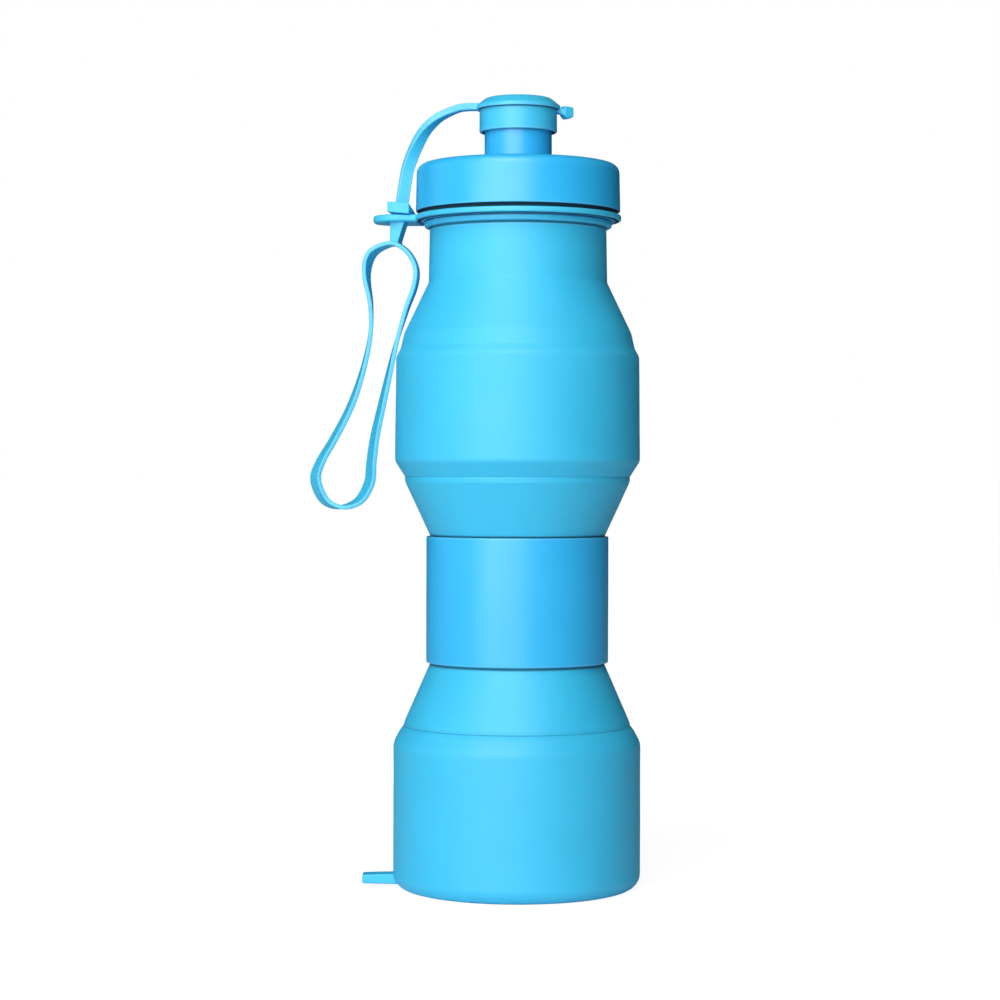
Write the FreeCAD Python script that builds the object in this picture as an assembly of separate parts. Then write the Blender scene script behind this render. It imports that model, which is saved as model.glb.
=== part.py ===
"""A folding water bottle: a silicone body in stiff and soft zones, a grip collar, a screw lid and its straps.

Millimetres, +Z up. The origin is the centre of the base's underside, where the bottle stands.
The strap tab, the carry loop and the fold peg lie towards -X. Each sub-part is one solid in parts/NODE.step.
"""

import FreeCAD, Part
import math
import os

Vector = FreeCAD.Vector
UP = Vector(0, 0, 1)
ACROSS = Vector(0, 1, 0)

# Silicone body: outer radii and heights of its zones, from the base up
WALL = 2.0
SOFT_WALL = 1.7
FOLD_GAP = 0.3
FLOOR = 3.2
CUP_R = 37.5
CUP_FOOT_R = 33.2
CUP_SHOULDER_Z = 44.1
CUP_SHOULDER_ROUND = 1.5
CUP_CHAMFER_TOP = (35.55, 47.7)
CUP_TOP_Z = 49.2
CUP_TOP_R = 34.4
CUP_LIP_Z = 48.0
CUP_INNER_SHOULDER_Z = 43.1
CUP_INNER_ROUND = 4.0
FOOT_GROOVE = 0.9
FOOT_GROOVE_R = (12.0, 26.5)
LOWER_FOLD = [(34.0, 50.7), (26.4, 68.1)]
WAIST_Z = (69.0, 106.2)
WAIST_R = 25.9
MIDDLE_FOLD_LOW = (26.9, 107.3)
MIDDLE_FOLD_TOP_R = 33.6
BARREL_Z = (122.5, 169.0)
BARREL_LOW_R = 34.0
BARREL_CREASE = (34.2, 124.6)
BARREL_R = (37.2, 36.85)
BARREL_WALL_Z = (129.3, 161.0)
BARREL_STEP = (35.5, 163.5)
BARREL_TOP_R = 34.3
NECK_Z = (182.6, 201.7)
NECK_R = (27.05, 26.7)
NECK_FLANGE_R = 28.4
NECK_FLANGE = 1.65
NECK_FLANGE_ROUND = (0.8, 0.4)
NECK_CLEARANCE = 0.05

# Fold peg on the base cup, which the carry loop hooks over when the bottle is folded flat
PEG_TIP_X = -46.9
PEG_WIDTH = 6.0
PEG_Z = (1.2, 4.0)
PEG_ROUND = 0.9

# How far a cutting tool runs past what it cuts, and how near two edges must be to count as one place
OVERRUN = 1.0
NEAR = 0.1

# Rigid grip collar round the waist
COLLAR_R = 27.65
COLLAR_INNER_R = 25.95
COLLAR_Z = (69.0, 106.0)
COLLAR_EDGE = 0.8

# Rigid neck insert and the lid's thread: a ridge on each, half a pitch apart
INSERT_R = 25.0
INSERT_BORE_R = 22.8
INSERT_BOTTOM_Z = 184.0
INSERT_TOP_Z = 214.4
INSERT_ROUND = 0.6
THREAD_ROOT_R = 26.2
THREAD_RIDGE = 1.3
THREAD_PITCH = 4.0
THREAD_START_Z = 205.6
INSERT_TURNS = 1.6
LID_TURNS = 1.1
RIDGE_ROOT = 1.7
RIDGE_CREST = 0.9
RIDGE_BITE = 0.3

# Screw lid with its drinking spout
LID_R = (31.0, 30.7)
LID_BOTTOM_Z = 205.0
LID_TOP_Z = 219.3
LID_INNER_R = 27.8
LID_ROOF = 2.3
LID_EDGE = 2.8
LID_LOW_EDGE = 0.4
LID_SKIRT_R = 29.0
LID_LIP_R = 29.8
LID_LIP_Z = (202.0, 202.4)
SPOUT_R = 10.2
SPOUT_BORE_R = 7.6
SPOUT_TOP_Z = 236.0
SPOUT_ROUND = (1.0, 0.7)
GASKET_Z = (214.5, 217.0)
GASKET_R = (23.0, 27.5)
GASKET_ROUND = 0.5

# Strap ring under the lid, with the slotted tab that holds the straps
RING_R = 31.3
RING_INNER_R = 29.15
RING_Z = (202.15, 203.8)
RING_EDGE = 0.5
RING_RECESS_R = 29.95
RING_RECESS_Z = 202.55
TAB_TIP_X = -43.9
TAB_BOTTOM_Z = 201.65
TAB_WIDTH = 16.5
TAB_Y = 2.75
TAB_ROUND = 6.5
TAB_ROOT_X = -25.3
TAB_ROOT_R = 30.7
STRAP_Y = -1.5
SLOT_X = (-39.5, -35.3)
SLOT_LENGTH = 5.6
ANCHOR_X = -35.3
ANCHOR_WIDTH = 6.75
ANCHOR_DEPTH = 9.0
ANCHOR_YAW = 12.0
ANCHOR_FRONT_Z = 207.9
ANCHOR_BACK_Z = 204.9
ANCHOR_ROUND = 0.5

# Spout cap, its plug, its pull lug and the tether that holds it
CAP_SKIRT_R = 11.7
CAP_CAVITY_R = 10.65
CAP_BOTTOM_Z = 229.0
CAP_DISC_R = 12.8
CAP_DISC_Z = 235.9
CAP_TOP_Z = 239.5
CAP_DOME = 3.0
CAP_EDGE = 0.4
CAP_LIP_ROUND = 0.5
CAP_ROOF_Z = 236.25
PLUG_R = 7.1
PLUG_BOTTOM_Z = 233.6
PLUG_ROUND = 1.0
LUG_WIDTH = 6.0
LUG = [
    (10.9, 233.8),
    (13.8, 233.0, 0.8),
    (16.4, 233.9, 0.8),
    (15.9, 236.6, 0.8),
    (11.8, 237.8),
    (10.9, 235.6),
]
TETHER_WIDTH = 3.8
TETHER_THICK = 2.1
TETHER_LINE = [
    (-12.9, 236.9),
    (-19.3, 235.9),
    (-26.0, 232.4),
    (-31.2, 224.5),
    (-33.9, 216.0),
    (-35.5, 205.3),
]

# Carry loop: a flat band whose centre line runs down the near side and up the far side
LOOP_WIDTH = 6.0
LOOP_THICK = 1.3
LOOP_LINE = [
    (-38.3, 195.1),
    (-33.7, 193.0),
    (-30.9, 188.0),
    (-31.2, 182.5),
    (-33.8, 175.2),
    (-36.7, 165.5),
    (-39.0, 155.8),
    (-41.2, 146.1),
    (-43.2, 137.0),
    (-44.3, 129.0),
    (-44.9, 122.8),
    (-48.0, 117.4),
    (-53.3, 115.4),
    (-58.4, 117.4),
    (-61.2, 123.5),
    (-59.7, 129.1),
    (-55.5, 136.4),
    (-50.6, 146.1),
    (-46.9, 157.0),
    (-44.7, 167.5),
    (-44.6, 176.5),
    (-45.9, 186.0),
    (-44.2, 192.2),
]
HINGE_X = -37.2
HINGE_Z = 202.3
STEM_R = 1.35
STEM_ROUND = 1.28
STEM_DEPTH = 4.0
STEM_LOW_Z = 200.0
STRAP_NECK = [(-38.5, 200.3), (-38.5, 198.0), (-40.0, 195.3), (-36.6, 195.3), (-35.0, 198.6), (-34.1, 200.5)]


def at(x, z):
    """The point (x, z) of the XZ plane."""
    return Vector(x, 0, z)


def corner(before, point, after, radius):
    """The start, middle and end of the arc that rounds the corner at a point."""
    to_before = (before - point).normalize()
    to_after = (after - point).normalize()
    half = to_before.getAngle(to_after) / 2
    run = radius / math.tan(half)
    bisector = (to_before + to_after).normalize()
    middle = point + bisector * (radius / math.sin(half) - radius)
    return point + to_before * run, middle, point + to_after * run


def outline(points):
    """A closed face in the XZ plane. A point is (x, z), or (x, z, radius) where its corner is round."""
    places = [at(p[0], p[1]) for p in points]
    ends = []
    for i, p in enumerate(points):
        if len(p) == 3:
            ends.append(corner(places[i - 1], places[i], places[(i + 1) % len(points)], p[2]))
        else:
            ends.append((places[i],))
    edges = []
    for i, arc in enumerate(ends):
        if len(arc) == 3:
            edges.append(Part.Arc(*arc).toShape())
        following = ends[(i + 1) % len(ends)][0]
        if arc[-1].distanceToPoint(following) > 1e-6:
            edges.append(Part.LineSegment(arc[-1], following).toShape())
    return Part.Face(Part.Wire(edges))


def turned(points):
    """A solid of revolution about Z from an outline of (radius, height) points."""
    return outline(points).revolve(Vector(), UP, 360)


def across(face, width, middle_y):
    """A face of the XZ plane made into a solid of that width, centred on middle_y."""
    face.translate(Vector(0, middle_y - width / 2, 0))
    return face.extrude(ACROSS * width)


def block(low, high):
    """A box between two corners."""
    size = [b - a for a, b in zip(low, high)]
    return Part.makeBox(*size, Vector(*low))


def band(line, thickness, closed):
    """The face of a band of even thickness along a smooth line of (x, z) points."""
    curve = Part.BSplineCurve()
    curve.interpolate(Points=[at(x, z) for x, z in line], PeriodicFlag=closed)
    steps = len(line) * 3
    spans = steps if closed else steps - 1
    sides = []
    for side in (-1, 1):
        points = []
        for i in range(steps):
            t = curve.FirstParameter + (curve.LastParameter - curve.FirstParameter) * i / spans
            along = curve.tangent(t)[0]
            points.append(curve.value(t) + along.cross(ACROSS) * (side * thickness / 2))
        edge = Part.BSplineCurve()
        edge.interpolate(Points=points, PeriodicFlag=closed)
        sides.append(edge)
    if closed:
        faces = [Part.Face(Part.Wire([side.toShape()])) for side in sides]
        faces.sort(key=lambda face: face.Area)
        return faces[1].cut(faces[0]).Faces[0]
    first, second = sides
    caps = [
        Part.LineSegment(first.EndPoint, second.EndPoint).toShape(),
        Part.LineSegment(second.StartPoint, first.StartPoint).toShape(),
    ]
    return Part.Face(Part.Wire([first.toShape(), caps[0], second.toShape(), caps[1]]))


def thread_ridge(root_r, crest_r, start_z, turns):
    """A right-handed helical ridge about Z, from the root radius to the crest radius."""
    helix = Part.makeHelix(THREAD_PITCH, THREAD_PITCH * turns, root_r)
    corners = [
        (root_r, -RIDGE_ROOT / 2),
        (crest_r, -RIDGE_CREST / 2),
        (crest_r, RIDGE_CREST / 2),
        (root_r, RIDGE_ROOT / 2),
    ]
    profile = Part.makePolygon([at(r, z) for r, z in corners + corners[:1]])
    ridge = Part.Wire(helix).makePipeShell([profile], True, True)
    ridge.translate(UP * start_z)
    return ridge


def base_cup():
    """The cup that the bottle stands on, with the fold peg moulded to its side."""
    groove_in, groove_out = FOOT_GROOVE_R
    cup = turned([
        (0, 0),
        (groove_in, 0),
        (groove_in + FOOT_GROOVE, FOOT_GROOVE),
        (groove_out - FOOT_GROOVE, FOOT_GROOVE),
        (groove_out, 0),
        (CUP_R, 0, CUP_R - CUP_FOOT_R),
        (CUP_R, CUP_SHOULDER_Z, CUP_SHOULDER_ROUND),
        CUP_CHAMFER_TOP,
        (CUP_TOP_R, CUP_TOP_Z),
        (CUP_TOP_R - SOFT_WALL, CUP_TOP_Z),
        (CUP_TOP_R - SOFT_WALL, CUP_LIP_Z),
        (CUP_R - WALL, CUP_INNER_SHOULDER_Z),
        (CUP_R - WALL, FLOOR, CUP_INNER_ROUND),
        (0, FLOOR),
    ])
    peg = block((PEG_TIP_X, -PEG_WIDTH / 2, PEG_Z[0]), (-CUP_R + WALL / 2, PEG_WIDTH / 2, PEG_Z[1]))
    tip_edges = [e for e in peg.Edges if e.BoundBox.XMax < PEG_TIP_X + NEAR]
    peg = peg.makeFillet(PEG_ROUND, tip_edges)
    return cup.fuse(peg).removeSplitter()


def lower_fold_wall():
    """The soft cone that rolls down into the cup when the bottle is folded."""
    top_z = WAIST_Z[0] - FOLD_GAP
    outer = [(CUP_TOP_R, CUP_TOP_Z), *LOWER_FOLD, (WAIST_R, top_z)]
    return turned(outer + [(r - SOFT_WALL, z) for r, z in reversed(outer)])


def waist_tube():
    """The stiff waist inside the grip collar."""
    bottom, top = WAIST_Z
    return turned([(WAIST_R - WALL, bottom), (WAIST_R, bottom), (WAIST_R, top), (WAIST_R - WALL, top)])


def grip_collar():
    """The rigid collar that the hand holds, with rounded edges."""
    bottom, top = COLLAR_Z
    return turned([
        (COLLAR_INNER_R, bottom),
        (COLLAR_R, bottom, COLLAR_EDGE),
        (COLLAR_R, top, COLLAR_EDGE),
        (COLLAR_INNER_R, top),
    ])


def middle_fold_wall():
    """The soft cone between the waist and the barrel."""
    top_z = BARREL_Z[0] - FOLD_GAP
    outer = [(WAIST_R, WAIST_Z[1]), MIDDLE_FOLD_LOW, (MIDDLE_FOLD_TOP_R, top_z)]
    return turned(outer + [(r - SOFT_WALL, z) for r, z in reversed(outer)])


def barrel_wall():
    """The barrel, with a chamfer below and a step above its straight wall."""
    bottom, top = BARREL_Z
    low, high = BARREL_WALL_Z
    outer = [
        (BARREL_LOW_R, bottom),
        BARREL_CREASE,
        (BARREL_R[0], low),
        (BARREL_R[1], high),
        BARREL_STEP,
        (BARREL_TOP_R, top),
    ]
    return turned(outer + [(r - WALL, z) for r, z in reversed(outer)])


def shoulder_fold_wall():
    """The soft cone that lets the neck sink into the barrel."""
    bottom, top = BARREL_Z[1], NECK_Z[0] - FOLD_GAP
    outer = [(BARREL_TOP_R, bottom), (NECK_R[0], top)]
    return turned(outer + [(r - SOFT_WALL, z) for r, z in reversed(outer)])


def neck_sleeve():
    """The silicone neck, with the flange that the lid stops above."""
    bottom, top = NECK_Z
    inner = INSERT_R + NECK_CLEARANCE
    under, over = NECK_FLANGE_ROUND
    return turned([
        (inner, bottom),
        (NECK_R[0], bottom),
        (NECK_R[1], top - NECK_FLANGE),
        (NECK_FLANGE_R, top - NECK_FLANGE, under),
        (NECK_FLANGE_R, top, over),
        (inner, top),
    ])


def neck_insert():
    """The rigid insert moulded into the neck, with the thread that the lid screws onto."""
    seat = NECK_Z[1]
    tube = turned([
        (INSERT_BORE_R, INSERT_BOTTOM_Z),
        (INSERT_R, INSERT_BOTTOM_Z),
        (INSERT_R, seat),
        (THREAD_ROOT_R, seat),
        (THREAD_ROOT_R, INSERT_TOP_Z, INSERT_ROUND),
        (INSERT_BORE_R, INSERT_TOP_Z, INSERT_ROUND),
    ])
    root, crest = THREAD_ROOT_R - RIDGE_BITE, THREAD_ROOT_R + THREAD_RIDGE
    ridge = thread_ridge(root, crest, THREAD_START_Z, INSERT_TURNS)
    return tube.fuse(ridge).removeSplitter()


def lid_gasket():
    """The flat sealing ring under the lid's roof."""
    bottom, top = GASKET_Z
    inner, outer = GASKET_R
    return turned([(inner, bottom, GASKET_ROUND), (outer, bottom, GASKET_ROUND), (outer, top), (inner, top)])


def screw_lid():
    """The rigid lid: a threaded shell, its spout, and the skirt that carries the strap ring."""
    lip_low, lip_high = LID_LIP_Z
    root_round, rim_round = SPOUT_ROUND
    shell = turned([
        (LID_INNER_R, lip_low),
        (LID_LIP_R, lip_low),
        (LID_LIP_R, lip_high),
        (LID_SKIRT_R, lip_high),
        (LID_SKIRT_R, LID_BOTTOM_Z),
        (LID_R[0], LID_BOTTOM_Z, LID_LOW_EDGE),
        (LID_R[1], LID_TOP_Z, LID_EDGE),
        (SPOUT_R, LID_TOP_Z, root_round),
        (SPOUT_R, SPOUT_TOP_Z, rim_round),
        (SPOUT_BORE_R, SPOUT_TOP_Z, rim_round),
        (SPOUT_BORE_R, LID_TOP_Z - LID_ROOF),
        (LID_INNER_R, LID_TOP_Z - LID_ROOF),
    ])
    crest = LID_INNER_R - THREAD_RIDGE
    start = THREAD_START_Z + THREAD_PITCH / 2
    ridge = thread_ridge(LID_INNER_R + RIDGE_BITE, crest, start, LID_TURNS)
    return shell.fuse(ridge).removeSplitter()


def strap_ring():
    """The flat ring that turns on the lid's skirt, with the slotted tab on its -X side."""
    bottom, top = RING_Z
    ring = turned([
        (RING_RECESS_R, bottom),
        (RING_R, bottom, RING_EDGE),
        (RING_R, top, RING_EDGE),
        (RING_INNER_R, top),
        (RING_INNER_R, RING_RECESS_Z),
        (RING_RECESS_R, RING_RECESS_Z),
    ])
    low_y = TAB_Y - TAB_WIDTH / 2
    tab = block((TAB_TIP_X, low_y, TAB_BOTTOM_Z), (TAB_ROOT_X, low_y + TAB_WIDTH, top))
    corners = [e for e in tab.Edges if e.BoundBox.XMax < TAB_TIP_X + NEAR and e.BoundBox.ZLength > NEAR]
    tab = tab.makeFillet(TAB_ROUND, corners)
    cut_low, cut_high = bottom - OVERRUN, top + OVERRUN
    tab = tab.cut(Part.makeCylinder(TAB_ROOT_R, cut_high - cut_low, at(0, cut_low)))
    slot_y = (STRAP_Y - SLOT_LENGTH / 2, STRAP_Y + SLOT_LENGTH / 2)
    slot = block((SLOT_X[0], slot_y[0], cut_low), (SLOT_X[1], slot_y[1], cut_high))
    return ring.fuse(tab).cut(slot).removeSplitter()


def strap_anchor():
    """The wedge that the tether rises from: its face is square and its top falls towards the back."""
    bottom, half = RING_Z[1], ANCHOR_DEPTH / 2
    front = (-half, ANCHOR_FRONT_Z, ANCHOR_ROUND)
    side = outline([(-half, bottom), (half, bottom), (half, ANCHOR_BACK_Z), front])
    wedge = across(side, ANCHOR_WIDTH, 0)
    wedge.rotate(Vector(), UP, 90 - ANCHOR_YAW)
    wedge.translate(Vector(ANCHOR_X, STRAP_Y, 0))
    return wedge


def cap_tether():
    """The band that holds the spout cap to the anchor block, trimmed where it meets the block."""
    return across(band(TETHER_LINE, TETHER_THICK, False), TETHER_WIDTH, STRAP_Y).cut(strap_anchor())


def spout_cap():
    """The cap: a skirt over the spout, a plug in its bore, a domed top and a pull lug."""
    cap = turned([
        (0, PLUG_BOTTOM_Z),
        (PLUG_R, PLUG_BOTTOM_Z, PLUG_ROUND),
        (PLUG_R, CAP_ROOF_Z),
        (CAP_CAVITY_R, CAP_ROOF_Z),
        (CAP_CAVITY_R, CAP_BOTTOM_Z),
        (CAP_SKIRT_R, CAP_BOTTOM_Z, CAP_LIP_ROUND),
        (CAP_SKIRT_R, CAP_DISC_Z, CAP_EDGE),
        (CAP_DISC_R, CAP_DISC_Z, CAP_EDGE),
        (CAP_DISC_R, CAP_TOP_Z, CAP_DOME),
        (0, CAP_TOP_Z),
    ])
    return cap.fuse(across(outline(LUG), LUG_WIDTH, 0)).removeSplitter()


def strap_neck():
    """The stem that hangs from the tab's slot and carries the loop, trimmed where it meets the loop."""
    face = outline(STRAP_NECK)
    stem = outline([
        (HINGE_X - STEM_R, HINGE_Z + STEM_R, STEM_ROUND),
        (HINGE_X + STEM_R, HINGE_Z + STEM_R, STEM_ROUND),
        (HINGE_X + STEM_R, STEM_LOW_Z),
        (HINGE_X - STEM_R, STEM_LOW_Z),
    ])
    neck = across(face, STEM_DEPTH, STRAP_Y)
    return neck.fuse(across(stem, STEM_DEPTH, STRAP_Y)).cut(carry_loop()).removeSplitter()


def carry_loop():
    """The closed band that hangs beside the barrel."""
    return across(band(LOOP_LINE, LOOP_THICK, True), LOOP_WIDTH, STRAP_Y)


MAKERS = [
    base_cup,
    lower_fold_wall,
    waist_tube,
    grip_collar,
    middle_fold_wall,
    barrel_wall,
    shoulder_fold_wall,
    neck_sleeve,
    neck_insert,
    lid_gasket,
    screw_lid,
    strap_ring,
    strap_anchor,
    cap_tether,
    spout_cap,
    strap_neck,
    carry_loop,
]


def main():
    os.makedirs("parts", exist_ok=True)
    for maker in MAKERS:
        shape = maker()
        if len(shape.Solids) != 1 or not shape.isValid():
            raise RuntimeError(f"{maker.__name__} is not one valid solid")
        solid = shape.Solids[0]
        solid.exportStep(f"parts/{maker.__name__}.step")
        print(f"{maker.__name__}: {solid.Volume / 1000:.2f} cm3")


main()
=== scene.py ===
"""The folding water bottle's looks: turned silicone shells, twisted straps, satin plastic and a soft studio.

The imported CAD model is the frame. Lengths are in millimetres until a mesh is made, and in metres after that.
Every piece stands in the frame's own place, so most radii and heights come from the CAD nodes' boxes.
"""

import math

import bmesh
import bpy
from mathutils import Matrix, Quaternion, Vector, noise


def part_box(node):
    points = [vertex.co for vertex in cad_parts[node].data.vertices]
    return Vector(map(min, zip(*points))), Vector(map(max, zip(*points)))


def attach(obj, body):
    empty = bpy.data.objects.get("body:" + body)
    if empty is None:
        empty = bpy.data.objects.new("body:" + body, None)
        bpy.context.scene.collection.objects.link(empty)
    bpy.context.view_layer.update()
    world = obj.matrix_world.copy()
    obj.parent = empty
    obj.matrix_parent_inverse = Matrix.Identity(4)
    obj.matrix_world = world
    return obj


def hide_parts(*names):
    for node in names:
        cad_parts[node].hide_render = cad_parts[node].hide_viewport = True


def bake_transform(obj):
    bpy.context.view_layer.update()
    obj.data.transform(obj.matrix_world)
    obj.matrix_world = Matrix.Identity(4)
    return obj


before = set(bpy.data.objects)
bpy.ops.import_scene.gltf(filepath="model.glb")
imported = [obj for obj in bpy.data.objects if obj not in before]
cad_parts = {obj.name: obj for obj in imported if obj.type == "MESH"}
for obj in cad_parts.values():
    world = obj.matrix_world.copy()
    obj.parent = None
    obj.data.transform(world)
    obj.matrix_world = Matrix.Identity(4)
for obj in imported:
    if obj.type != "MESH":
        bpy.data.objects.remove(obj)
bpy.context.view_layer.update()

MM = 0.001
SEGMENTS = 288
ARC_STEPS = 7
CREASE_ANGLE = 50
SOFT_ANGLE = 32
SHARP_RADIUS = 0.3
MERGE_WITHIN = 0.002
CUT_WITHIN = 0.02
UP = Vector((0, 0, 1))

# The edge value of a corner deep in a gap, which gets painted shade, and that of an edge made pale by rubbing
# and a painted highlight.
PAINTED_SHADE = -1.0
RUBBED_AND_HIGHLIT = 0.9

# How far walls stray from their ideal surface, in mm, and how often per mm their waves come.
SOFT_UNEVEN = 0.12
HARD_UNEVEN = 0.03
CAP_UNEVEN = 0.04
NECK_UNEVEN = 0.06
LONG_WAVES = 0.045
SHORT_WAVES = 0.16
SHORT_SHARE = 0.35


# ---------------------------------------------------------------- places from the frame

def low(node):
    """The lowest height of a CAD node, in mm."""
    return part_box(node)[0].z / MM


def high(node):
    """The highest height of a CAD node, in mm."""
    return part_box(node)[1].z / MM


def radius(node):
    """The radius of a round CAD node, in mm, from its reach towards +Y."""
    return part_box(node)[1].y / MM


CUP_R, CUP_TOP = radius("base_cup"), high("base_cup")
CUP_MOUTH_R = radius("lower_fold_wall")
WAIST_R = radius("waist_tube")
WAIST_LOW, WAIST_HIGH = low("waist_tube"), high("waist_tube")
COLLAR_R = radius("grip_collar")
COLLAR_LOW, COLLAR_HIGH = low("grip_collar"), high("grip_collar")
BARREL_R = radius("barrel_wall")
BARREL_LOW, BARREL_HIGH = low("barrel_wall"), high("barrel_wall")
SHOULDER_R = radius("shoulder_fold_wall")
NECK_LOW, NECK_HIGH = low("neck_sleeve"), high("neck_sleeve")
FLANGE_R = radius("neck_sleeve")
LID_R = radius("screw_lid")
LID_LOW, SPOUT_HIGH = low("screw_lid"), high("screw_lid")
LID_EDGE_LOW = LID_LOW + 3.0
LID_HIGH = SPOUT_HIGH - 16.7
FLAT = 1.65
RING_R = radius("strap_ring")
TAB_LOW, RING_HIGH = low("strap_ring"), high("strap_ring")
RING_LOW = RING_HIGH - FLAT
CAP_R = radius("spout_cap")
CAP_HIGH = high("spout_cap")
PEG_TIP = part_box("base_cup")[0].x / MM
TAB_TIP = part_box("strap_ring")[0].x / MM
STRAP_Y = (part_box("carry_loop")[0].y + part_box("carry_loop")[1].y) / 2 / MM
WALL = 2.0
SOFT_WALL = 1.7
MIDDLE_TOP_R = BARREL_R - 3.37
SHOULDER_LOW_R = SHOULDER_R - 0.25
SHOULDER_HIGH_R = 27.5
NECK_R = 27.05
# The fold line's corner radius and edge value, which paints a thin line of shade in the crease.
FOLD_EDGE = (0.20, -0.12)


# ---------------------------------------------------------------- outlines

def samples_between(a, b):
    """The points of a straight run from a to b, closer together near its ends."""
    step, edge = 2.2, 0.5
    length = (b - a).length
    if length < 3 * edge:
        return []
    inner = max(1, round((length - 2 * edge) / step))
    along = [edge + (length - 2 * edge) * i / inner for i in range(inner + 1)]
    return [a.lerp(b, d / length) for d in along]


def rounded(points):
    """Samples of a closed outline of points (x, z), (x, z, corner radius) or (x, z, corner radius, edge).

    A sample is (place, edge): edge is up to 1 on an outer corner, down to -1 on an inner one, 0 on a flat; the
    materials make a positive edge paler, for rubbing and a painted highlight, and a negative one darker, as
    painted shade.
    A wide corner counts for less than a sharp one, and a given edge value counts as it is.
    A straight run between two inner corners is as deep in shade as the less shaded of them.
    """
    places = [Vector((p[0], p[1])) for p in points]
    count = len(points)
    area = sum(places[i - 1].cross(places[i]) for i in range(count))
    corners = []
    for i, p in enumerate(points):
        before, place, after = places[i - 1], places[i], places[(i + 1) % count]
        if len(p) < 3:
            corners.append([(place, 0.0)])
            continue
        back, ahead = (before - place).normalized(), (after - place).normalized()
        half = back.angle(ahead) / 2
        run = p[2] / math.tan(half)
        centre = place + (back + ahead).normalized() * (p[2] / math.sin(half))
        start, end = place + back * run, place + ahead * run
        outer = 1.0 if (place - before).cross(after - place) * area > 0 else -1.0
        outer *= min(1.0, SHARP_RADIUS / p[2])
        if len(p) > 3:
            outer = p[3]
        arc = []
        for k in range(ARC_STEPS + 1):
            spoke = (start - centre).lerp(end - centre, k / ARC_STEPS)
            arc.append((centre + spoke.normalized() * p[2], outer))
        corners.append(arc)
    result = []
    for i in range(count):
        result += corners[i]
        (start, first), (end, second) = corners[i][-1], corners[(i + 1) % count][0]
        shade = min(0.0, max(first, second))
        result += [(q, shade) for q in samples_between(start, end)]
    return result


def walled(outer, thickness):
    """The closed outline of a wall from its outer line, with the inner line that far towards the axis."""
    return outer + [(p[0] - thickness, p[1]) for p in reversed(outer)]


# ---------------------------------------------------------------- meshes

def set_edge_wear_and_light(mesh, values):
    """Gives each point of a mesh its edge value, which the moulded materials read: paler for rubbing and a
    painted highlight where positive, painted shade where negative.
    """
    attribute = mesh.attributes.new("edge_wear_and_painted_light", "FLOAT", "POINT")
    attribute.data.foreach_set("value", values)


def new_object(name, verts, faces, material, edge_values=None):
    """A smooth mesh object from points in mm, with an optional edge value per point."""
    mesh = bpy.data.meshes.new(name)
    mesh.from_pydata([Vector(v) * MM for v in verts], [], faces)
    mesh.validate()
    if edge_values:
        set_edge_wear_and_light(mesh, edge_values)
    mesh.polygons.foreach_set("use_smooth", [True] * len(mesh.polygons))
    mesh.materials.append(material)
    obj = bpy.data.objects.new(name, mesh)
    bpy.context.scene.collection.objects.link(obj)
    return obj


def unevenness(x, y, z, amount):
    """How far a wall stands out from its ideal surface at a point, in long and weaker short waves."""
    place = Vector((x, y, z))
    long_waves = noise.noise(place * LONG_WAVES)
    return amount * (long_waves + SHORT_SHARE * noise.noise(place * SHORT_WAVES))


def turned(name, samples, material, uneven=0.0, segments=SEGMENTS):
    """A lathe shell about Z from a closed outline's samples; a sample on the axis becomes a pole."""
    verts, edges, rings = [], [], []
    for place, edge in samples:
        r, z = place
        if r < 1e-6:
            rings.append([len(verts)])
            verts.append((0, 0, z))
            edges.append(edge)
            continue
        rings.append(list(range(len(verts), len(verts) + segments)))
        for k in range(segments):
            a = 2 * math.pi * k / segments
            x, y = r * math.cos(a), r * math.sin(a)
            out = 1 + (unevenness(x, y, z, uneven) / r if uneven else 0)
            verts.append((x * out, y * out, z))
            edges.append(edge)
    faces = []
    for i, ring in enumerate(rings):
        after = rings[(i + 1) % len(rings)]
        if len(ring) == 1 and len(after) == 1:
            continue
        for k in range(segments):
            n = (k + 1) % segments
            if len(ring) == 1:
                faces.append((ring[0], after[k], after[n]))
            elif len(after) == 1:
                faces.append((ring[k], after[0], ring[n]))
            else:
                faces.append((ring[k], after[k], after[n], ring[n]))
    obj = new_object(name, verts, faces, material, edges)
    face_outwards(obj)
    obj.data.set_sharp_from_angle(angle=math.radians(CREASE_ANGLE))
    return obj


def face_outwards(obj):
    """Turns every face of a closed mesh outwards."""
    bm = bmesh.new()
    bm.from_mesh(obj.data)
    bmesh.ops.recalc_face_normals(bm, faces=bm.faces)
    bm.to_mesh(obj.data)
    bm.free()


def apply_modifiers(obj):
    """Makes an object's modified mesh its own mesh."""
    mesh = bpy.data.meshes.new_from_object(obj.evaluated_get(bpy.context.evaluated_depsgraph_get()))
    obj.modifiers.clear()
    obj.data = mesh


def even_shading(obj):
    """Evens out the shading of a mesh's flats, and applies all its modifiers."""
    weighted = obj.modifiers.new("weighted", "WEIGHTED_NORMAL")
    weighted.keep_sharp = True
    apply_modifiers(obj)


def soften(obj, width):
    """Rounds the sharp edges of a mesh by that width in mm, and evens out its shading."""
    bevel = obj.modifiers.new("bevel", "BEVEL")
    bevel.width = width * MM
    bevel.segments = 4
    bevel.limit_method = "ANGLE"
    bevel.angle_limit = math.radians(SOFT_ANGLE)
    even_shading(obj)


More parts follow.
